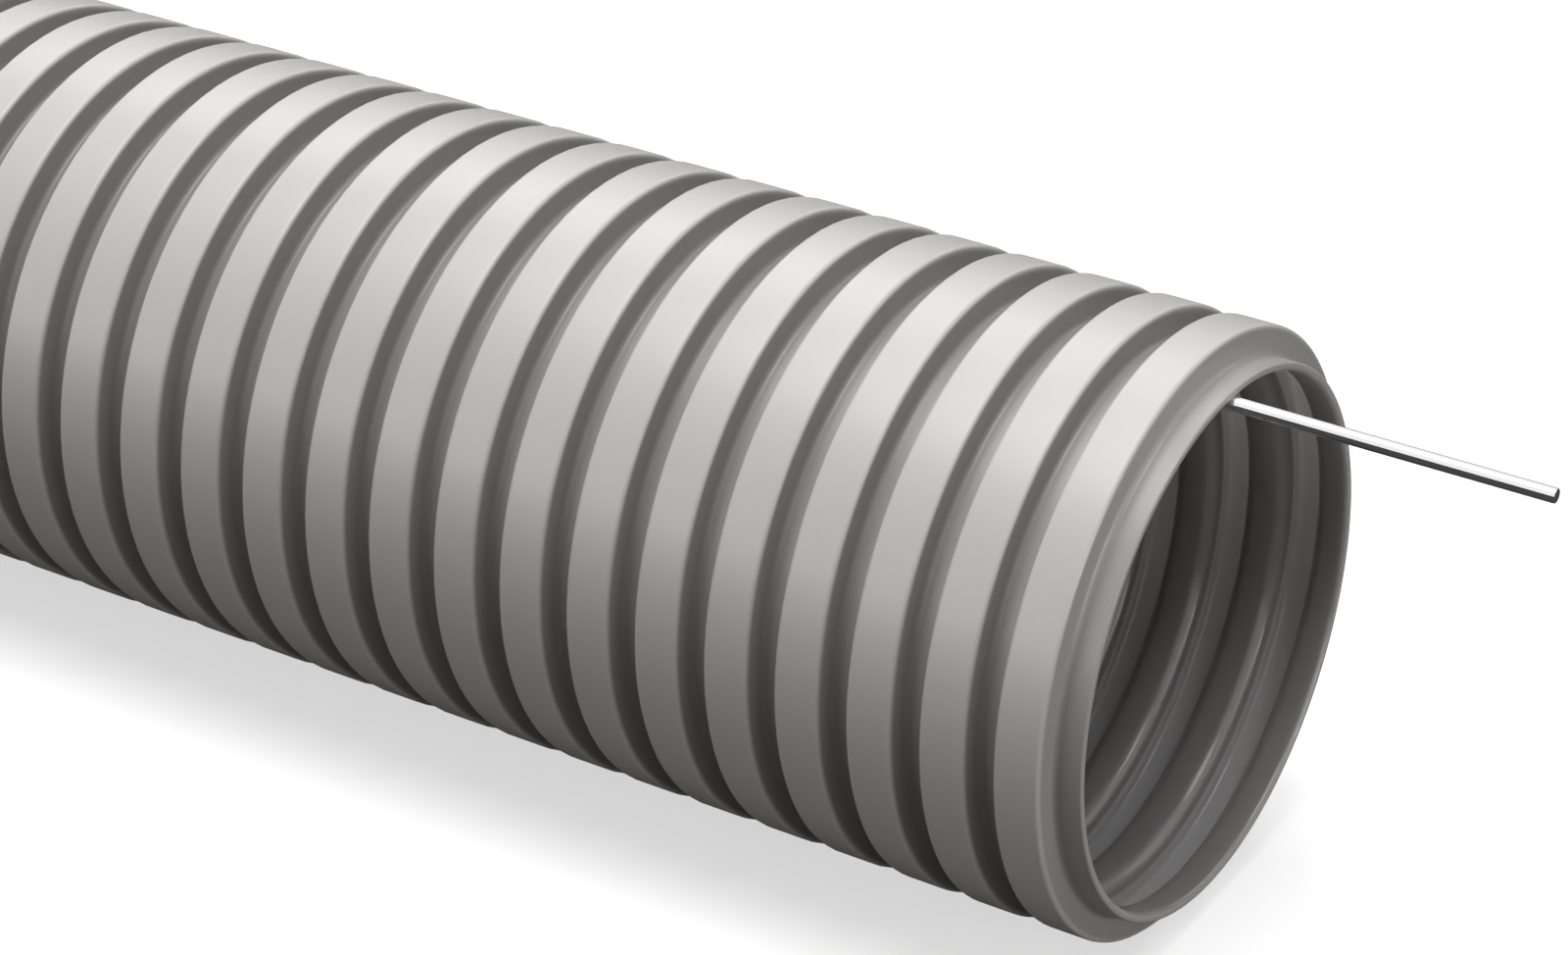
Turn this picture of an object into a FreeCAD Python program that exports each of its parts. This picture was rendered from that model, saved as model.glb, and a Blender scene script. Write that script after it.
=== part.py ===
"""A straight metre of corrugated conduit with a draw wire in its bore.

The conduit lies along X on the floor and its visible mouth is at +X. Its wall
is one thin skin that steps out and in again: square crests at an even pitch,
with their corners eased, and narrow level valleys between them. Both ends are
cut in a valley, which leaves a short plain lip. A straight steel wire lies
against the top of the bore and sticks out at both mouths. Sizes are in
millimetres.
"""

import FreeCAD, Part
import os

import Sketcher
from FreeCAD import Vector

SIZES = [
    ("outer_diameter", 50.0),
    ("pitch_length", 6.4),
    ("crest_width", 3.9),
    ("crest_height", 2.4),
    ("wall_thickness", 0.75),
    ("crest_ease", 0.3),
    ("crest_count", 156),
    ("lip_length", 2.3),
    ("lip_ease", 0.25),
    ("wire_diameter", 1.2),
    ("wire_gap", 0.1),
    ("wire_reach", 26.0),
    ("wire_ease", 0.15),
]

WORKED_OUT = [
    ("crest_radius", "=outer_diameter / 2"),
    ("valley_radius", "=crest_radius - crest_height"),
    ("bore_radius", "=valley_radius - wall_thickness"),
    ("pocket_radius", "=crest_radius - wall_thickness"),
    ("half_pitch", "=pitch_length / 2"),
    ("half_crest", "=crest_width / 2"),
    ("half_pocket", "=half_crest - wall_thickness"),
    ("crest_row", "=(crest_count - 1) * pitch_length"),
    ("lip_root", "=crest_row / 2 + half_pitch"),
    ("lip_end", "=crest_row / 2 + half_crest + lip_length"),
    ("wire_end", "=lip_end + wire_reach"),
    ("wire_radius", "=wire_diameter / 2"),
    ("wire_height", "=crest_radius + bore_radius - wire_gap - wire_radius"),
]


def make_sheet(doc):
    """Keeps every size once, under a name that the sub-parts read."""
    sheet = doc.addObject("Spreadsheet::Sheet", "Sizes")
    for row, (name, value) in enumerate(SIZES + WORKED_OUT, start=1):
        sheet.set(f"A{row}", name)
        sheet.set(f"B{row}", str(value))
        sheet.setAlias(f"B{row}", name)
    doc.recompute()
    return sheet


def make_body(doc, name, height):
    """An empty body for one sub-part, with its axis at a height off the floor."""
    body = doc.addObject("PartDesign::Body", name)
    body.Label = name
    body.setExpression("Placement.Base.z", f"Sizes.{height}")
    return body


def base_feature(body, role):
    """One of the body's own planes or axes, such as XY_Plane or X_Axis."""
    return next(item for item in body.Origin.OriginFeatures if item.Role == role)


def draw_section(body, name, corners):
    """Draws a closed section on the body's level XY plane.

    Each corner is a pair of sizes: its place along the conduit and its
    distance from the axis that the section turns about.
    """
    sketch = body.newObject("Sketcher::SketchObject", name)
    sketch.AttachmentSupport = [(base_feature(body, "XY_Plane"), "")]
    sketch.MapMode = "FlatFace"
    spots = [Vector(*(float(sketch.evalExpression(size)) for size in corner), 0) for corner in corners]
    for index, spot in enumerate(spots):
        sketch.addGeometry(Part.LineSegment(spot, spots[(index + 1) % len(spots)]), False)
    for index, (along, out) in enumerate(corners):
        following = (index + 1) % len(spots)
        sketch.addConstraint(Sketcher.Constraint("Coincident", index, 2, following, 1))
        for kind, size, value in (
            ("DistanceX", along, spots[index].x),
            ("DistanceY", out, spots[index].y),
        ):
            datum = sketch.addConstraint(Sketcher.Constraint(kind, -1, 1, index, 1, value))
            sketch.setExpression(f"Constraints[{datum}]", size)
    return sketch


def turn(body, name, sketch):
    """Turns a section right round the body's X axis."""
    ring = body.newObject("PartDesign::Revolution", name)
    ring.Profile = sketch
    ring.ReferenceAxis = (base_feature(body, "X_Axis"), [""])
    ring.Angle = 360
    sketch.Visibility = False
    return ring


def make_tube(doc):
    """The skin: one pitch is turned, repeated along X, and closed by two lips."""
    body = make_body(doc, "corrugated_tube", "crest_radius")
    pitch = draw_section(
        body,
        "pitch_section",
        [
            ("-Sizes.half_pitch", "Sizes.valley_radius"),
            ("-Sizes.half_crest", "Sizes.valley_radius"),
            ("-Sizes.half_crest", "Sizes.crest_radius - Sizes.crest_ease"),
            ("Sizes.crest_ease - Sizes.half_crest", "Sizes.crest_radius"),
            ("Sizes.half_crest - Sizes.crest_ease", "Sizes.crest_radius"),
            ("Sizes.half_crest", "Sizes.crest_radius - Sizes.crest_ease"),
            ("Sizes.half_crest", "Sizes.valley_radius"),
            ("Sizes.half_pitch", "Sizes.valley_radius"),
            ("Sizes.half_pitch", "Sizes.bore_radius"),
            ("Sizes.half_pocket", "Sizes.bore_radius"),
            ("Sizes.half_pocket", "Sizes.pocket_radius"),
            ("-Sizes.half_pocket", "Sizes.pocket_radius"),
            ("-Sizes.half_pocket", "Sizes.bore_radius"),
            ("-Sizes.half_pitch", "Sizes.bore_radius"),
        ],
    )
    pitch.setExpression("AttachmentOffset.Base.x", "-Sizes.crest_row / 2")
    corrugation = turn(body, "corrugation", pitch)
    row = body.newObject("PartDesign::LinearPattern", "corrugation_row")
    row.Originals = [corrugation]
    row.Direction = (base_feature(body, "X_Axis"), [""])
    row.setExpression("Length", "Sizes.crest_row")
    row.setExpression("Occurrences", "Sizes.crest_count")
    row.Refine = True
    body.Tip = row
    doc.recompute()
    lip_section = draw_section(
        body,
        "lip_section",
        [
            ("Sizes.lip_root", "Sizes.bore_radius"),
            ("Sizes.lip_root", "Sizes.valley_radius"),
            ("Sizes.lip_end - Sizes.lip_ease", "Sizes.valley_radius"),
            ("Sizes.lip_end", "Sizes.valley_radius - Sizes.lip_ease"),
            ("Sizes.lip_end", "Sizes.bore_radius"),
        ],
    )
    near_lip = turn(body, "near_lip", lip_section)
    far_lip = body.newObject("PartDesign::Mirrored", "far_lip")
    far_lip.Originals = [near_lip]
    far_lip.MirrorPlane = (base_feature(body, "YZ_Plane"), [""])
    far_lip.Refine = True
    body.Tip = far_lip
    doc.recompute()
    return body


def make_wire(doc):
    """The draw wire: one straight round wire with its cut ends eased."""
    body = make_body(doc, "draw_wire", "wire_height")
    section = draw_section(
        body,
        "wire_section",
        [
            ("-Sizes.wire_end", "0"),
            ("-Sizes.wire_end", "Sizes.wire_radius - Sizes.wire_ease"),
            ("Sizes.wire_ease - Sizes.wire_end", "Sizes.wire_radius"),
            ("Sizes.wire_end - Sizes.wire_ease", "Sizes.wire_radius"),
            ("Sizes.wire_end", "Sizes.wire_radius - Sizes.wire_ease"),
            ("Sizes.wire_end", "0"),
        ],
    )
    body.Tip = turn(body, "straight_wire", section)
    doc.recompute()
    return body


def check(doc, bodies):
    """Stops the build if an object failed or a sub-part isn't one sound solid."""
    for item in doc.Objects:
        if {"Invalid", "Error"} & set(item.State):
            raise RuntimeError(f"{item.Name} failed: {item.State}")
    for body in bodies:
        shape = body.Shape
        if shape.isNull() or not shape.isValid() or len(shape.Solids) != 1:
            raise RuntimeError(f"{body.Label} is not one sound solid")


def write_steps(bodies):
    """Writes each sub-part to a file of its own name."""
    os.makedirs("parts", exist_ok=True)
    for body in bodies:
        body.Shape.exportStep(f"parts/{body.Label}.step")


def main():
    doc = FreeCAD.newDocument("conduit")
    make_sheet(doc)
    bodies = [make_tube(doc), make_wire(doc)]
    check(doc, bodies)
    write_steps(bodies)


main()
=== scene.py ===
"""Dresses the corrugated conduit and its draw wire, and lights them in a plain studio.

Everything is in metres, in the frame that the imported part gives: the conduit
lies along X on the floor, its visible mouth is at +X and Z is up.
"""

import logging
import math
from dataclasses import dataclass, field
from enum import Enum
from typing import Callable, Optional

import bmesh
import bpy
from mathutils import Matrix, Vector


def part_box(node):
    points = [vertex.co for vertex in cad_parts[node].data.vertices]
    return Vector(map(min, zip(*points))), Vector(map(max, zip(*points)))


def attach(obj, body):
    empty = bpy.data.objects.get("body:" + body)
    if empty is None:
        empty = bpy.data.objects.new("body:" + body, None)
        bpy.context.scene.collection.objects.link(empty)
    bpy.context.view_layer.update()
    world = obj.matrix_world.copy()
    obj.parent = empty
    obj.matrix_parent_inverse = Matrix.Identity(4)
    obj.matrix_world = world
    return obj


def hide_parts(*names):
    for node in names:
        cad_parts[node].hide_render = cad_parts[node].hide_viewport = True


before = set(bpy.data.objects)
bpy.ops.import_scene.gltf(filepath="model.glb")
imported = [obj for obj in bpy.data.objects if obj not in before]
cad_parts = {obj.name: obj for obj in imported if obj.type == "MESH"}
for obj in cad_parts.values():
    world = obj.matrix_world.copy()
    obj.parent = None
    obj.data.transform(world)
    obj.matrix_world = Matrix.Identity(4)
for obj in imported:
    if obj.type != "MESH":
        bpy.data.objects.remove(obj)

LOG = logging.getLogger("conduit")
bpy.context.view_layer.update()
ROOT_BODY = "root"
MM = 0.001

Colour = tuple[float, float, float, float]
Spot = tuple[float, float, float]

SRGB_TOE = 0.04045
SRGB_SLOPE = 12.92
SRGB_OFFSET = 0.055
SRGB_POWER = 2.4

MIX_FACTOR, MIX_FIRST, MIX_SECOND = 0, 6, 7
MIX_RESULT = 2
NOISE_LOW, NOISE_HIGH = 0.3, 0.7


def linear_colour(code: str) -> Colour:
    """Turns an sRGB hex colour into the linear values that shaders take.

    Args:
        code: Six hex digits, such as "e4e2e0".

    Returns:
        Red, green, blue and an alpha of 1.
    """
    red, green, blue = (
        value / SRGB_SLOPE
        if value <= SRGB_TOE
        else ((value + SRGB_OFFSET) / (1 + SRGB_OFFSET)) ** SRGB_POWER
        for value in (int(code[at : at + 2], 16) / 255 for at in (0, 2, 4))
    )
    return red, green, blue, 1.0


def add_node(
    tree: bpy.types.NodeTree,
    kind: str,
    inputs: Optional[dict[object, object]] = None,
    **settings: object,
) -> bpy.types.Node:
    """Adds one shader node.

    Args:
        tree: The node tree it goes in.
        kind: Its type, such as "ShaderNodeTexNoise".
        inputs: Values or sockets for its inputs, by name or by place.
        **settings: Its own properties, such as operation="MULTIPLY".

    Returns:
        The new node.
    """
    node = tree.nodes.new(kind)
    for name, value in settings.items():
        setattr(node, name, value)
    for name, value in (inputs or {}).items():
        if isinstance(value, bpy.types.NodeSocket):
            tree.links.new(value, node.inputs[name])
        else:
            node.inputs[name].default_value = value
    return node


def new_material(name: str) -> tuple[bpy.types.Material, bpy.types.NodeTree]:
    """A material with an empty node tree.

    Args:
        name: The material's name.

    Returns:
        The material and its tree.
    """
    material = bpy.data.materials.new(name)
    material.use_nodes = True
    material.node_tree.nodes.clear()
    return material, material.node_tree


def mix_colours(
    tree: bpy.types.NodeTree, factor: bpy.types.NodeSocket, first: str, second: str
) -> bpy.types.NodeSocket:
    """Blends from one colour to another over a surface.

    Args:
        tree: The material's tree.
        factor: The share of the second colour.
        first: The first colour's hex digits.
        second: The second colour's hex digits.

    Returns:
        The colour.
    """
    colours = {MIX_FIRST: linear_colour(first), MIX_SECOND: linear_colour(second)}
    mix = add_node(
        tree, "ShaderNodeMix", {MIX_FACTOR: factor, **colours}, data_type="RGBA"
    )
    return mix.outputs[MIX_RESULT]


def grain_inputs(
    tree: bpy.types.NodeTree,
    noise: bpy.types.NodeSocket,
    roughness: float,
    swing: float,
    depth: float,
) -> dict[str, bpy.types.NodeSocket]:
    """Lets one noise vary a surface's gloss and stand out of it as a fine grain.

    Args:
        tree: The material's tree.
        noise: The noise.
        roughness: The middle of the roughness.
        swing: How far the roughness goes either way.
        depth: The height of the grain.

    Returns:
        The shader's inputs that it drives.
    """
    gloss = add_node(
        tree,
        "ShaderNodeMapRange",
        {
            "Value": noise,
            "From Min": NOISE_LOW,
            "From Max": NOISE_HIGH,
            "To Min": roughness - swing,
            "To Max": roughness + swing,
        },
    )
    grain = add_node(
        tree,
        "ShaderNodeBump",
        {"Height": noise, "Strength": 1.0, "Distance": depth},
    )
    return {"Roughness": gloss.outputs["Result"], "Normal": grain.outputs["Normal"]}


@dataclass(frozen=True)
class FormedPvc:
    """Unplasticised PVC, extruded and drawn by vacuum into a corrugator's moulds.

    To the eye: a pale, faintly warm grey with a satin sheen and no grain. The
    valleys and flanks are painted darker than the crests, as painted shade in the
    grooves. The mould side is duller than the bore, where the melt's own skin
    stays glossy. In the bore the bands and rounds are painted darker and the pockets
    inside the crests paler, as a painted glow; a little subsurface light also
    comes through the wall.
    """

    name: str
    colour: str
    roughness: float
    roughness_swing: float
    grain_depth: float
    # Painted light and shade: between these two distances from the axis the colour
    # fades to this paler one.
    painted_shade_ramp_colour: Optional[str] = None
    painted_shade_ramp_from: float = 24.4 * MM
    painted_shade_ramp_to: float = 24.95 * MM
    glow: float = 0.0
    glow_depth: float = 2.1 * MM
    glow_spread: Spot = (1.0, 0.98, 0.96)
    axis_height: float = 25 * MM
    grain_size: float = 0.6 * MM
    grain_detail: float = 4.0
    ior: float = 1.53

    def paint_shade_ramp(
        self, tree: bpy.types.NodeTree, place: bpy.types.NodeSocket
    ) -> bpy.types.NodeSocket:
        """Paints light and shade by the distance from the axis, fading the colour to a
        paler one further out.

        Args:
            tree: The material's tree.
            place: The place on the object.

        Returns:
            The colour.
        """
        across = add_node(
            tree,
            "ShaderNodeMapping",
            {
                "Vector": place,
                "Location": (0, 0, -self.axis_height),
                "Scale": (0, 1, 1),
            },
        )
        radius = add_node(
            tree,
            "ShaderNodeVectorMath",
            {0: across.outputs["Vector"]},
            operation="LENGTH",
        )
        # The painted shade ramp: 0 nearer the axis, where the colour stays darker as
        # painted shade, and 1 further out, where it is paler.
        drawn = add_node(
            tree,
            "ShaderNodeMapRange",
            {
                "Value": radius.outputs["Value"],
                "From Min": self.painted_shade_ramp_from,
                "From Max": self.painted_shade_ramp_to,
            },
            interpolation_type="SMOOTHSTEP",
        )
        return mix_colours(tree, drawn.outputs["Result"], self.colour, self.painted_shade_ramp_colour)

    def make(self) -> bpy.types.Material:
        """Builds the material."""
        material, tree = new_material(self.name)
        place = add_node(tree, "ShaderNodeTexCoord").outputs["Object"]
        skin = add_node(
            tree,
            "ShaderNodeTexNoise",
            {
                "Vector": place,
                "Scale": 1 / self.grain_size,
                "Detail": self.grain_detail,
            },
        )
        colour = linear_colour(self.colour)
        # Painted light and shade by radius, where a second colour is given.
        if self.painted_shade_ramp_colour:
            colour = self.paint_shade_ramp(tree, place)
        grain = grain_inputs(
            tree,
            skin.outputs["Fac"],
            self.roughness,
            self.roughness_swing,
            self.grain_depth,
        )
        shader = add_node(
            tree,
            "ShaderNodeBsdfPrincipled",
            {
                "Base Color": colour,
                "IOR": self.ior,
                "Subsurface Weight": self.glow,
                "Subsurface Scale": self.glow_depth,
                "Subsurface Radius": self.glow_spread,
                **grain,
            },
        )
        add_node(tree, "ShaderNodeOutputMaterial", {"Surface": shader.outputs["BSDF"]})
        return material


@dataclass(frozen=True)
class DrawnSteel:
    """Galvanised steel wire, drawn bright through a die after it was coated.

    To the eye: a near mirror that is white where it meets the sky and dark
    where it meets the ground, with fine die lines along it.
    """

    name: str = "drawn_galvanised_steel"
    colour: str = "f4f4f5"
    dull_colour: str = "e8e8ea"
    roughness: float = 0.07
    roughness_swing: float = 0.021
    line_width: float = 0.06 * MM
    line_length: float = 12 * MM
    line_depth: float = 0.0006 * MM
    line_detail: float = 2.0

    def make(self) -> bpy.types.Material:
        """Builds the material."""
        material, tree = new_material(self.name)
        along = add_node(
            tree,
            "ShaderNodeMapping",
            {
                "Vector": add_node(tree, "ShaderNodeTexCoord").outputs["Object"],
                "Scale": (
                    1 / self.line_length,
                    1 / self.line_width,
                    1 / self.line_width,
                ),
            },
        )
        lines = add_node(
            tree,
            "ShaderNodeTexNoise",
            {
                "Vector": along.outputs["Vector"],
                "Scale": 1.0,
                "Detail": self.line_detail,
            },
        ).outputs["Fac"]
        grain = grain_inputs(
            tree, lines, self.roughness, self.roughness_swing, self.line_depth
        )
        shader = add_node(
            tree,
            "ShaderNodeBsdfPrincipled",
            {
                "Base Color": mix_colours(tree, lines, self.colour, self.dull_colour),
                "Metallic": 1.0,
                **grain,
            },
        )
        add_node(tree, "ShaderNodeOutputMaterial", {"Surface": shader.outputs["BSDF"]})
        return material


def deselect_all() -> None:
    """Clears the selection, so that an operator acts only on what comes next."""
    bpy.ops.object.select_all(action="DESELECT")


def enter_edit(piece: bpy.types.Object) -> None:
    """Opens one object alone in edit mode, where edges are selected.

    Args:
        piece: The object to work on.
    """
    deselect_all()
    piece.select_set(True)
    bpy.context.view_layer.objects.active = piece
    bpy.ops.object.mode_set(mode="EDIT")
    bpy.ops.mesh.select_mode(type="EDGE")


def leave_edit() -> None:
    """Goes back to object mode."""
    bpy.ops.object.mode_set(mode="OBJECT")


def draw_ring(
    sides: int, radius: float, centre: Spot, fill_type: str = "NOTHING"
) -> bpy.types.Object:
    """Adds a ring that faces along X.

    Args:
        sides: Its sides.
        radius: Its radius.
        centre: Its middle.
        fill_type: "NGON" makes it a disc.

    Returns:
        The ring.
    """
    deselect_all()
    bpy.ops.mesh.primitive_circle_add(
        vertices=sides,
        radius=radius,
        fill_type=fill_type,
        location=centre,
        rotation=(0, math.pi / 2, 0),
    )
    bpy.ops.object.transform_apply(location=True, rotation=True, scale=True)
    return bpy.context.object


def pull_along(distance: float) -> None:
    """Pulls what is selected along X, in edit mode, and leaves a wall behind.

    Args:
        distance: How far it goes.
    """
    bpy.ops.mesh.extrude_region_move(
        TRANSFORM_OT_translate={"value": (distance, 0, 0)}
    )


def select_edges(
    piece: bpy.types.Object, wanted: Callable[[bmesh.types.BMEdge], bool]
) -> None:
    """Selects edges by their place, in edit mode.

    Args:
        piece: The object in edit mode.
        wanted: Says whether an edge is taken.
    """
    bpy.ops.mesh.select_all(action="DESELECT")
    shape = bmesh.from_edit_mesh(piece.data)
    for edge in [edge for edge in shape.edges if wanted(edge)]:
        edge.select_set(True)
    bmesh.update_edit_mesh(piece.data)


def round_selected(rounding: float, steps: int) -> None:
    """Rounds the selected edges.

    Args:
        rounding: The radius of the round.
        steps: How many faces the round takes.
    """
    bpy.ops.mesh.bevel(
        offset=rounding,
        offset_type="OFFSET",
        segments=steps,
        profile=0.5,
        affect="EDGES",
    )


def face_outwards() -> None:
    """Turns every face of a closed mesh to the outside, in edit mode."""
    bpy.ops.mesh.select_all(action="SELECT")
    bpy.ops.mesh.normals_make_consistent(inside=False)


def join_parts(parts: list[bpy.types.Object]) -> bpy.types.Object:
    """Joins meshes into the first of them.

    Args:
        parts: The meshes.

    Returns:
        The joined mesh.
    """
    deselect_all()
    for part in parts:
        part.select_set(True)
    bpy.context.view_layer.objects.active = parts[0]
    bpy.ops.object.join()
    return parts[0]


class Detail(Enum):
    """How finely a stretch is made.

    The sides of a ring, then the steps of the rounds on the crests' shoulders,
    in the feet of the valleys, on the bore's edges and in the pockets' corners.
    No steps leave those corners square.
    """

    MOUTH = (120, 3, 3, 4, 2)
    END = (80, 3, 2, 3, 1)
    OUTSIDE = (80, 3, 2, 0, 0)
    PLAIN = (40, 1, 0, 0, 0)

    @property
    def sides(self) -> int:
        """Sides of each ring."""
        return self.value[0]

    @property
    def steps(self) -> tuple[int, ...]:
        """Steps of the four rounds, from the outside in."""
        return self.value[1:]


@dataclass(frozen=True)
class Stretch:
    """A run of like crests, and how far its two open ends move along X."""

    first: int
    count: int
    detail: Detail
    far_shift: float
    near_shift: float


@dataclass
class ConduitTube:
    """The corrugated skin: outside, bore and cut lips as one closed mesh."""

    pitch: float = 6.4 * MM
    crest_width: float = 3.9 * MM
    crest_height: float = 2.4 * MM
    wall: float = 0.75 * MM
    lip_length: float = 2.3 * MM
    crest_count: int = 156
    shoulder_radius: float = 0.34 * MM
    foot_radius: float = 0.45 * MM
    bore_edge_radius: float = 1.2 * MM
    pocket_corner_radius: float = 0.3 * MM
    lip_radius: float = 0.16 * MM
    lip_inner_radius: float = 0.34 * MM
    lip_steps: int = 3
    runs: tuple[tuple[int, Detail], ...] = (
        (3, Detail.END),
        (134, Detail.PLAIN),
        (13, Detail.OUTSIDE),
        (3, Detail.END),
        (3, Detail.MOUTH),
    )
    join_gap: float = 0.5 * MM
    touch: float = 0.002 * MM
    flat_angle: float = math.radians(1)
    corner_angle: float = math.radians(60)
    smooth_angle: float = math.radians(50)
    # Painted shade: the valleys and flanks are painted darker (b2b0af) than the crests
    # (dddad8), which stands in for the shade in the grooves.
    outside: FormedPvc = FormedPvc(
        name="satin_pvc",
        colour="b2b0af",
        roughness=0.32,
        roughness_swing=0.03,
        grain_depth=0.001 * MM,
        painted_shade_ramp_colour="dddad8",
    )
    # Painted light and shade in the bore: its bands and rounds are painted darker
    # (acaaa9) and the pockets inside the crests paler (e0dedd), a painted glow of light
    # through the wall, besides the subsurface light.
    bore: FormedPvc = FormedPvc(
        name="glossy_pvc",
        colour="acaaa9",
        roughness=0.17,
        roughness_swing=0.02,
        grain_depth=0.001 * MM,
        painted_shade_ramp_colour="e0dedd",
        painted_shade_ramp_from=22.8 * MM,
        painted_shade_ramp_to=23.15 * MM,
        glow=1.0,
    )
    cut_face: FormedPvc = FormedPvc(
        name="sawn_pvc",
        colour="bebcba",
        roughness=0.5,
        roughness_swing=0.05,
        grain_depth=0.004 * MM,
    )
    cut_face_slot: int = 2
    axis_height: float = field(init=False)
    crest_radius: float = field(init=False)
    valley_radius: float = field(init=False)
    bore_radius: float = field(init=False)
    pocket_radius: float = field(init=False)
    half_valley: float = field(init=False)
    first_crest: float = field(init=False)
    lip_end: float = field(init=False)

    def __post_init__(self) -> None:
        """Takes the conduit's place and outer size from the frame."""
        low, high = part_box("corrugated_tube")
        self.crest_radius = (high.y - low.y) / 2
        self.axis_height = (high.z + low.z) / 2
        self.valley_radius = self.crest_radius - self.crest_height
        self.bore_radius = self.valley_radius - self.wall
        self.pocket_radius = self.crest_radius - self.wall
        self.half_valley = (self.pitch - self.crest_width) / 2
        crest_row = (self.crest_count - 1) * self.pitch
        self.first_crest = -(crest_row + self.crest_width) / 2
        self.lip_end = self.lip_length - self.first_crest

    def build(self) -> bpy.types.Object:
        """Models the skin, dresses it and hands it to the frame.

        Returns:
            The finished piece.
        """
        stretches = self.stretches()
        skins = [part.make() for part in (self.outside, self.bore, self.cut_face)]
        tube = join_parts([self.make_stretch(run, skins) for run in stretches])
        tube.name = tube.data.name = "corrugated_skin"
        enter_edit(tube)
        for stretch in stretches[1:]:
            start = self.first_crest + stretch.first * self.pitch
            self.close_join(tube, start - self.half_valley)
        for side in (-1, 1):
            self.close_lip(tube, side * self.lip_end)
        face_outwards()
        for side in (-1, 1):
            self.ease_lip(tube, side * self.lip_end)
        leave_edit()
        self.finish_surface(tube)
        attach(tube, ROOT_BODY)
        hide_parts("corrugated_tube")
        return tube

    def stretches(self) -> list[Stretch]:
        """The runs from the far end to the mouth, with a gap at each join.

        Returns:
            The runs. The first and the last reach to the conduit's ends.
        """
        to_lip = self.lip_length - self.half_valley
        gap = self.join_gap / 2
        found: list[Stretch] = []
        first = 0
        for count, detail in self.runs:
            far_shift = gap if first else -to_lip
            near_shift = to_lip if first + count == self.crest_count else -gap
            found.append(Stretch(first, count, detail, far_shift, near_shift))
            first += count
        return found

    def make_stretch(
        self, stretch: Stretch, skins: list[bpy.types.Material]
    ) -> bpy.types.Object:
        """Models one pitch of both skins, repeats it and rounds its corners.

        Args:
            stretch: Where the run starts, its count and its detail.
            skins: The materials of the outside, the bore and the cut face.

        Returns:
            The run, open at both ends.
        """
        start = self.first_crest + stretch.first * self.pitch
        low = start - self.half_valley
        high = low + stretch.count * self.pitch
        sides = stretch.detail.sides
        outside, bore, cut_face = skins
        outer = self.draw_skin(start, 0.0, self.valley_radius, self.crest_radius, sides)
        inner = self.draw_skin(
            start, self.wall, self.bore_radius, self.pocket_radius, sides
        )
        for material in (outside, bore, cut_face):
            outer.data.materials.append(material)
        for material in (bore, outside, cut_face):
            inner.data.materials.append(material)
        run = join_parts([outer, inner])
        self.repeat(run, stretch.count)
        enter_edit(run)
        self.drop_seams(run)
        self.shift_border(run, low, stretch.far_shift)
        self.shift_border(run, high, stretch.near_shift)
        self.round_corners(run, stretch.detail)
        leave_edit()
        return run

    def draw_skin(
        self,
        start: float,
        inset: float,
        low_radius: float,
        high_radius: float,
        sides: int,
    ) -> bpy.types.Object:
        """Draws one pitch of a skin by pulling a ring along the axis and in or out.

        Args:
            start: Where the crest starts along X.
            inset: How far inside the crest's flanks this skin's flanks lie.
            low_radius: The skin's radius in the valleys.
            high_radius: The skin's radius in the crest.
            sides: Sides of each ring.

        Returns:
            The open skin, from the middle of one valley to the next.
        """
        rise = start + inset
        fall = start + self.crest_width - inset
        rings = [
            (start - self.half_valley, low_radius),
            (rise, low_radius),
            (rise, high_radius),
            (fall, high_radius),
            (fall, low_radius),
            (start + self.crest_width + self.half_valley, low_radius),
        ]
        place, radius = rings[0]
        skin = draw_ring(sides, radius, (place, 0, self.axis_height))
        bpy.ops.object.mode_set(mode="EDIT")
        bpy.ops.mesh.select_all(action="SELECT")
        for next_place, next_radius in rings[1:]:
            pull_along(next_place - place)
            self.resize_selected(next_place, next_radius / radius)
            place, radius = next_place, next_radius
        leave_edit()
        return skin

    def resize_selected(self, place: float, growth: float) -> None:
        """Resizes what is selected about the axis, in edit mode.

        Args:
            place: Where it is along X.
            growth: How many times larger it gets.
        """
        bpy.ops.transform.resize(
            value=(1, growth, growth), center_override=(place, 0, self.axis_height)
        )

    def repeat(self, run: bpy.types.Object, count: int) -> None:
        """Repeats one pitch along X and welds the copies.

        Args:
            run: The pitch.
            count: How many pitches the run has.
        """
        array = run.modifiers.new("pitches", "ARRAY")
        array.count = count
        array.use_relative_offset = False
        array.use_constant_offset = True
        array.constant_offset_displace = (self.pitch, 0, 0)
        array.use_merge_vertices = True
        array.merge_threshold = self.touch
        bpy.ops.object.modifier_apply(modifier=array.name)

    def radius_of(self, vertex: bmesh.types.BMVert) -> float:
        """A corner's distance from the axis."""
        return math.hypot(vertex.co.y, vertex.co.z - self.axis_height)

    def is_near(self, edge: bmesh.types.BMEdge, place: float) -> bool:
        """Whether an edge starts at a place along X."""
        return abs(edge.verts[0].co.x - place) < self.touch

    def is_at_radius(self, edge: bmesh.types.BMEdge, radius: float) -> bool:
        """Whether an edge starts at a distance from the axis."""
        return abs(self.radius_of(edge.verts[0]) - radius) < self.touch

    def is_ring(self, edge: bmesh.types.BMEdge) -> bool:
        """Whether an edge runs round the conduit and not along or out of it."""
        start, end = edge.verts
        return self.is_near(edge, end.co.x) and self.is_at_radius(
            edge, self.radius_of(end)
        )

    def drop_seams(self, run: bpy.types.Object) -> None:
        """Dissolves the flat rings that the welded copies leave in the valleys.

        Args:
            run: The run, in edit mode.
        """
        select_edges(
            run,
            lambda edge: self.is_ring(edge)
            and len(edge.link_faces) == 2
            and edge.calc_face_angle(math.pi) < self.flat_angle,
        )
        bpy.ops.mesh.dissolve_edges(use_verts=True)

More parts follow.
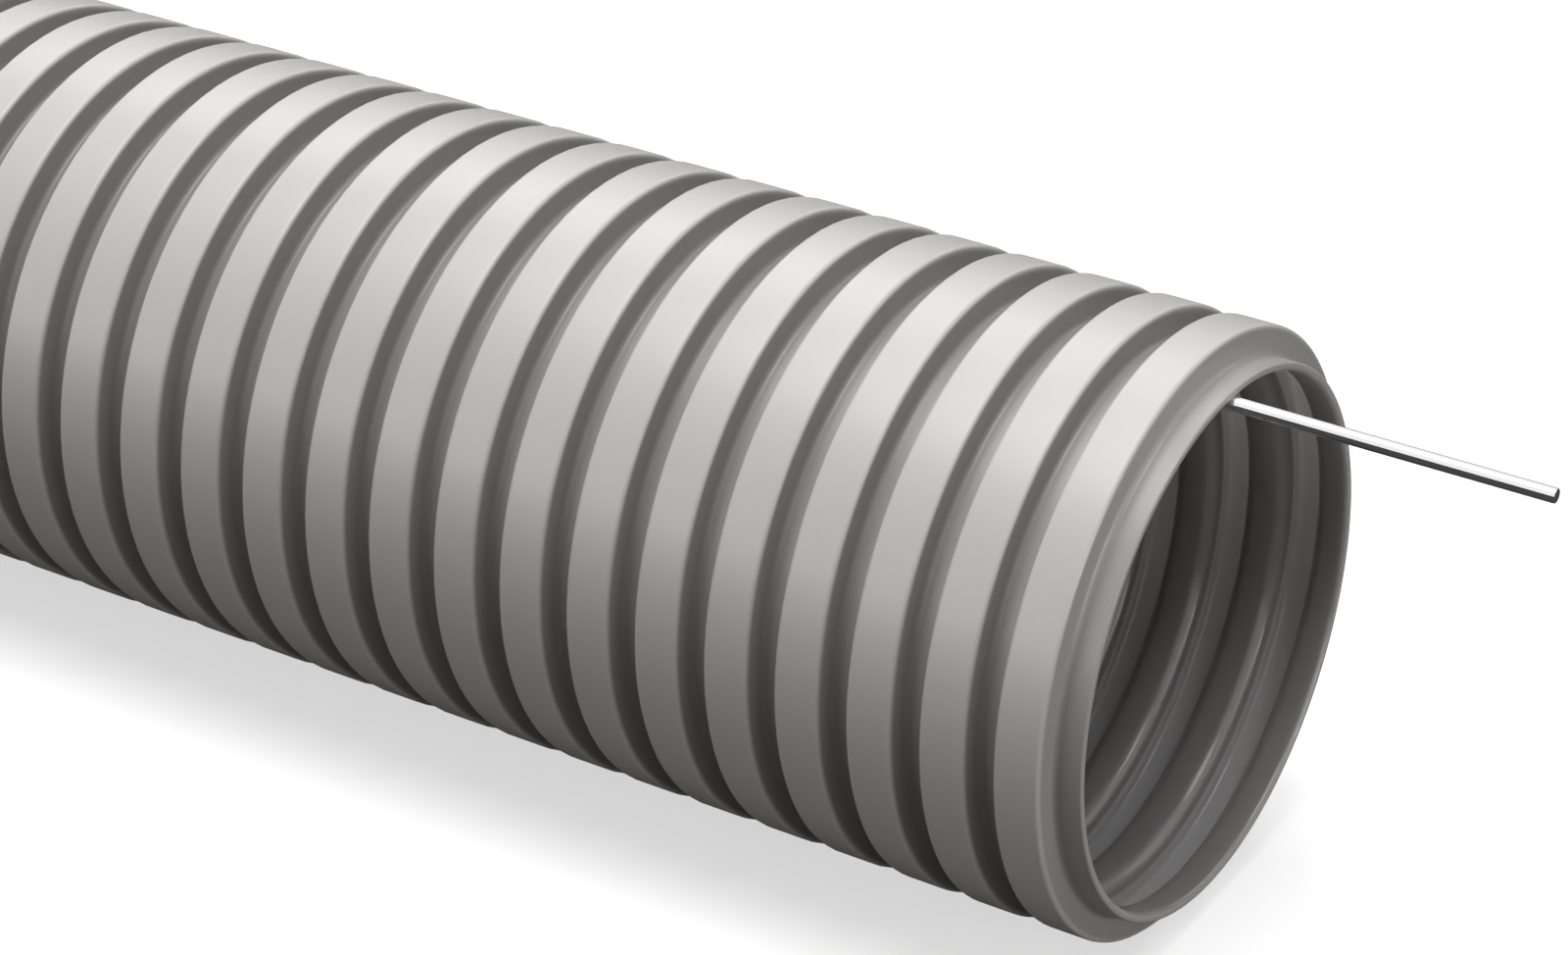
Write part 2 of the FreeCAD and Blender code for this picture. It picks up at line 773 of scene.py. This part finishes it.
    def shift_border(self, run: bpy.types.Object, place: float, shift: float) -> None:
        """Moves an open end of both skins along X.

        Args:
            run: The run, in edit mode.
            place: Where the open end is.
            shift: How far it moves.
        """
        select_edges(run, lambda edge: edge.is_boundary and self.is_near(edge, place))
        bpy.ops.transform.translate(value=(shift, 0, 0))

    def round_corners(self, run: bpy.types.Object, detail: Detail) -> None:
        """Rounds the crests' shoulders and, where fine, the other corners.

        Args:
            run: The run of pitches, in edit mode.
            detail: Its detail.
        """
        rounds = (
            (self.crest_radius, self.shoulder_radius),
            (self.valley_radius, self.foot_radius),
            (self.bore_radius, self.bore_edge_radius),
            (self.pocket_radius, self.pocket_corner_radius),
        )
        for (radius, rounding), steps in zip(rounds, detail.steps):
            if steps:
                self.select_corners(run, radius)
                round_selected(rounding, steps)

    def select_corners(
        self,
        piece: bpy.types.Object,
        radius: float,
        low: float = -math.inf,
        high: float = math.inf,
    ) -> None:
        """Selects every corner that runs round the conduit at one radius.

        Args:
            piece: The mesh, in edit mode.
            radius: The corners' distance from the axis.
            low: The least X.
            high: The greatest X.
        """
        select_edges(
            piece,
            lambda edge: low <= edge.verts[0].co.x <= high
            and len(edge.link_faces) == 2
            and self.is_ring(edge)
            and self.is_at_radius(edge, radius)
            and edge.calc_face_angle(0) > self.corner_angle,
        )

    def close_join(self, tube: bpy.types.Object, place: float) -> None:
        """Bridges the gap between two runs, in the outer skin and in the bore.

        Args:
            tube: The joined runs, in edit mode.
            place: The middle of the gap along X.
        """
        for radius in (self.valley_radius, self.bore_radius):
            select_edges(
                tube,
                lambda edge: edge.is_boundary
                and abs(edge.verts[0].co.x - place) < self.join_gap
                and self.is_at_radius(edge, radius),
            )
            bpy.ops.mesh.bridge_edge_loops()

    def close_lip(self, tube: bpy.types.Object, place: float) -> None:
        """Closes a cut end with its flat face.

        Args:
            tube: The joined runs, in edit mode.
            place: Where the cut is along X.
        """
        select_edges(
            tube,
            lambda edge: edge.is_boundary
            and self.is_near(edge, place)
            and self.is_at_radius(edge, self.valley_radius),
        )
        bpy.ops.mesh.extrude_region_move()
        self.resize_selected(place, self.bore_radius / self.valley_radius)
        select_edges(tube, lambda edge: self.is_near(edge, place))
        bpy.ops.mesh.remove_doubles(threshold=self.touch)
        self.paint_cut_face(tube, place)

    def ease_lip(self, tube: bpy.types.Object, place: float) -> None:
        """Eases the outer and the inner edge of a cut end.

        Args:
            tube: The closed mesh, in edit mode.
            place: Where the cut is along X.
        """
        for radius, rounding in (
            (self.valley_radius, self.lip_radius),
            (self.bore_radius, self.lip_inner_radius),
        ):
            self.select_corners(tube, radius, place - self.touch, place + self.touch)
            round_selected(rounding, self.lip_steps)

    def paint_cut_face(self, tube: bpy.types.Object, place: float) -> None:
        """Gives the flat cut face its own finish.

        Args:
            tube: The joined runs, in edit mode.
            place: Where the face is along X.
        """
        shape = bmesh.from_edit_mesh(tube.data)
        for face in shape.faces:
            if all(abs(vertex.co.x - place) < self.touch for vertex in face.verts):
                face.material_index = self.cut_face_slot
        bmesh.update_edit_mesh(tube.data)

    def finish_surface(self, tube: bpy.types.Object) -> None:
        """Shades the rounds softly and keeps the flats flat.

        Args:
            tube: The closed mesh.
        """
        bpy.ops.object.shade_smooth_by_angle(angle=self.smooth_angle)
        weights = tube.modifiers.new("even_flats", "WEIGHTED_NORMAL")
        weights.keep_sharp = True
        bpy.ops.object.modifier_apply(modifier=weights.name)


@dataclass
class DrawWire:
    """The steel wire that lies along the top of the bore, out of both mouths."""

    sides: int = 32
    end_radius: float = 0.12 * MM
    end_steps: int = 2
    smooth_angle: float = math.radians(40)
    finish: DrawnSteel = DrawnSteel()

    def build(self) -> bpy.types.Object:
        """Models the wire, dresses it and hands it to the frame.

        Returns:
            The finished piece.
        """
        low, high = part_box("draw_wire")
        radius = (high.y - low.y) / 2
        centre = (low.x, (high.y + low.y) / 2, (high.z + low.z) / 2)
        wire = draw_ring(self.sides, radius, centre, fill_type="NGON")
        wire.name = wire.data.name = "bright_wire"
        enter_edit(wire)
        bpy.ops.mesh.select_all(action="SELECT")
        pull_along(high.x - low.x)
        select_edges(
            wire,
            lambda edge: abs(edge.verts[0].co.x - edge.verts[1].co.x) < radius,
        )
        round_selected(self.end_radius, self.end_steps)
        face_outwards()
        leave_edit()
        bpy.ops.object.shade_smooth_by_angle(angle=self.smooth_angle)
        wire.data.materials.append(self.finish.make())
        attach(wire, ROOT_BODY)
        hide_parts("draw_wire")
        return wire


def seen_or_mirrored(tree: bpy.types.NodeTree) -> bpy.types.NodeSocket:
    """Is 1 for rays from the camera, from a gloss or through glass, and 0 for light.

    Args:
        tree: The tree that it is for.

    Returns:
        The factor.
    """
    path = add_node(tree, "ShaderNodeLightPath")
    seen = path.outputs["Is Camera Ray"]
    for ray in ("Is Glossy Ray", "Is Transmission Ray"):
        either = add_node(
            tree, "ShaderNodeMath", {0: seen, 1: path.outputs[ray]}, operation="MAXIMUM"
        )
        seen = either.outputs["Value"]
    return seen


def add_plane(
    name: str,
    size: tuple[float, float],
    material: bpy.types.Material,
    centre: Spot = (0, 0, 0),
    tilt_degrees: float = 0,
) -> bpy.types.Object:
    """Adds a flat rectangle.

    Args:
        name: Its name.
        size: Its length and its width.
        material: Its material.
        centre: Its middle.
        tilt_degrees: How far it is tilted about X.

    Returns:
        The rectangle.
    """
    deselect_all()
    bpy.ops.mesh.primitive_plane_add(
        size=1, location=centre, rotation=(math.radians(tilt_degrees), 0, 0)
    )
    plane = bpy.context.object
    plane.name = plane.data.name = name
    plane.scale = (*size, 1)
    bpy.ops.object.transform_apply(location=False, rotation=False, scale=True)
    plane.data.materials.append(material)
    return plane


@dataclass(frozen=True)
class StudioFloor:
    """A plain pale floor that shows white and keeps the object's shadow."""

    name: str = "pale_floor"
    half: float = 40.0
    seen_colour: str = "ededed"
    lit_colour: str = "5e5e5e"
    lift: float = 0.6

    def make(self) -> bpy.types.Material:
        """Builds the material."""
        material, tree = new_material(self.name)
        seen = seen_or_mirrored(tree)
        colour = mix_colours(tree, seen, self.lit_colour, self.seen_colour)
        matt = add_node(tree, "ShaderNodeBsdfDiffuse", {"Color": colour})
        glow = add_node(
            tree, "ShaderNodeMath", {0: seen, 1: self.lift}, operation="MULTIPLY"
        )
        white = add_node(
            tree, "ShaderNodeEmission", {"Strength": glow.outputs["Value"]}
        )
        both = add_node(
            tree,
            "ShaderNodeAddShader",
            {0: matt.outputs["BSDF"], 1: white.outputs["Emission"]},
        )
        add_node(tree, "ShaderNodeOutputMaterial", {"Surface": both.outputs["Shader"]})
        return material

    def add(self) -> bpy.types.Object:
        """Lays the floor that the conduit lies on.

        Returns:
            The floor.
        """
        floor = add_plane("floor", (2 * self.half, 2 * self.half), self.make())
        return floor


@dataclass(frozen=True)
class DarkCard:
    """A dark grey card that only glosses and metals see, and that casts no shade.

    Cards like these give the steel its dark lower edge and the satin its depth.
    """

    name: str
    centre: Spot
    size: tuple[float, float]
    tilt_degrees: float
    colour: str = "4c4c4c"

    def add(self) -> bpy.types.Object:
        """Sets up the card.

        Returns:
            The card.
        """
        material, tree = new_material(self.name)
        matt = add_node(
            tree, "ShaderNodeBsdfDiffuse", {"Color": linear_colour(self.colour)}
        )
        add_node(tree, "ShaderNodeOutputMaterial", {"Surface": matt.outputs["BSDF"]})
        card = add_plane(
            self.name, self.size, material, self.centre, self.tilt_degrees
        )
        card.visible_camera = False
        card.visible_diffuse = False
        card.visible_transmission = False
        card.visible_shadow = False
        return card


@dataclass(frozen=True)
class Lamp:
    """A wide soft lamp, far enough off to light the whole metre evenly.

    Its place in the sky is given as the conduit sees it: how far it leans
    towards the mouth, as the X part of a unit vector, and how far round from
    straight above it stands, towards the viewer. At a level of 1 it alone
    would turn a matt white surface that faces it full white.
    """

    name: str
    lean: float
    round_degrees: float
    spread_degrees: float
    level: float
    distance: float = 3.0

    def add(self) -> bpy.types.Object:
        """Hangs the lamp.

        Returns:
            The lamp.
        """
        turn = math.radians(self.round_degrees)
        out = math.sqrt(1 - self.lean**2)
        sky = Vector((self.lean, -out * math.sin(turn), out * math.cos(turn)))
        deselect_all()
        bpy.ops.object.light_add(type="SUN", location=sky * self.distance)
        lamp = bpy.context.object
        lamp.name = lamp.data.name = self.name
        lamp.data.energy = math.pi * self.level
        lamp.data.angle = math.radians(self.spread_degrees)
        lamp.rotation_euler = (-sky).to_track_quat("-Z", "Y").to_euler()
        return lamp


@dataclass(frozen=True)
class Studio:
    """The floor, the white surroundings, the lamps, the cards and the camera."""

    fill_level: float = 0.048
    mouth: Spot = (0.50025, 0.0, 0.025)
    camera_offset: Spot = (0.126675, -0.264125, 0.17925)
    camera_aim: Spot = (-0.46502, 0.73605, -0.49193)
    camera_reach: tuple[float, float] = (0.01, 200.0)
    sensor_width: float = 36.0
    focal_length: float = 101.21
    floor: StudioFloor = StudioFloor()
    lamps: tuple[Lamp, ...] = (
        Lamp("overhead_softbox", -0.16, 4, 42, 0.575),
        Lamp("top_softbox", 0.4, 0, 26, 0.125),
        Lamp("rear_softbox", -0.45, -35, 30, 0.18),
        Lamp("front_softbox", -0.5, 84, 40, 0.17),
        Lamp("mouth_softbox", 0.985, -45, 14, 0.15),
        Lamp("mouth_fill", 0.995, 75, 10, 0.11),
        Lamp("viewer_softbox", 0.9, 42, 32, 0.05),
    )
    cards: tuple[DarkCard, ...] = (
        DarkCard("floor_card", (0, 0, 0.0001), (20, 20), 0),
        DarkCard("rear_card", (0, 2, 0.35), (8, 0.7), 90),
        DarkCard("front_card", (0, -2, 0.18), (8, 0.36), 90),
    )

    def build(self) -> None:
        """Sets up everything that isn't part of the object."""
        self.floor.add()
        self.light_surroundings()
        for item in self.lamps + self.cards:
            item.add()
        self.place_camera()
        bpy.context.scene.view_settings.view_transform = "Standard"

    def light_surroundings(self) -> None:
        """Makes the surroundings white to see or reflect, and dim as a light."""
        world = bpy.data.worlds.new("surroundings")
        bpy.context.scene.world = world
        world.use_nodes = True
        tree = world.node_tree
        tree.nodes.clear()
        level = add_node(
            tree,
            "ShaderNodeMapRange",
            {
                "Value": seen_or_mirrored(tree),
                "To Min": self.fill_level,
                "To Max": 1.0,
            },
        )
        sky = add_node(
            tree,
            "ShaderNodeBackground",
            {"Color": linear_colour("ffffff"), "Strength": level.outputs["Result"]},
        )
        add_node(
            tree, "ShaderNodeOutputWorld", {"Surface": sky.outputs["Background"]}
        )

    def place_camera(self) -> None:
        """Places the camera at the mouth's front right, looking down the conduit."""
        deselect_all()
        bpy.ops.object.camera_add(
            location=Vector(self.mouth) + Vector(self.camera_offset)
        )
        camera = bpy.context.object
        aim = Vector(self.camera_aim).to_track_quat("-Z", "Y")
        camera.rotation_euler = aim.to_euler()
        camera.data.sensor_fit = "HORIZONTAL"
        camera.data.sensor_width = self.sensor_width
        camera.data.lens = self.focal_length
        camera.data.clip_start, camera.data.clip_end = self.camera_reach
        bpy.context.scene.camera = camera


def main() -> None:
    """Builds the pieces in order, then the studio around them."""
    logging.basicConfig(level=logging.INFO)
    deselect_all()
    for builder in (ConduitTube(), DrawWire()):
        piece = builder.build()
        LOG.info("%s: %d faces", piece.name, len(piece.data.polygons))
    Studio().build()


if __name__ == "__main__":
    main()
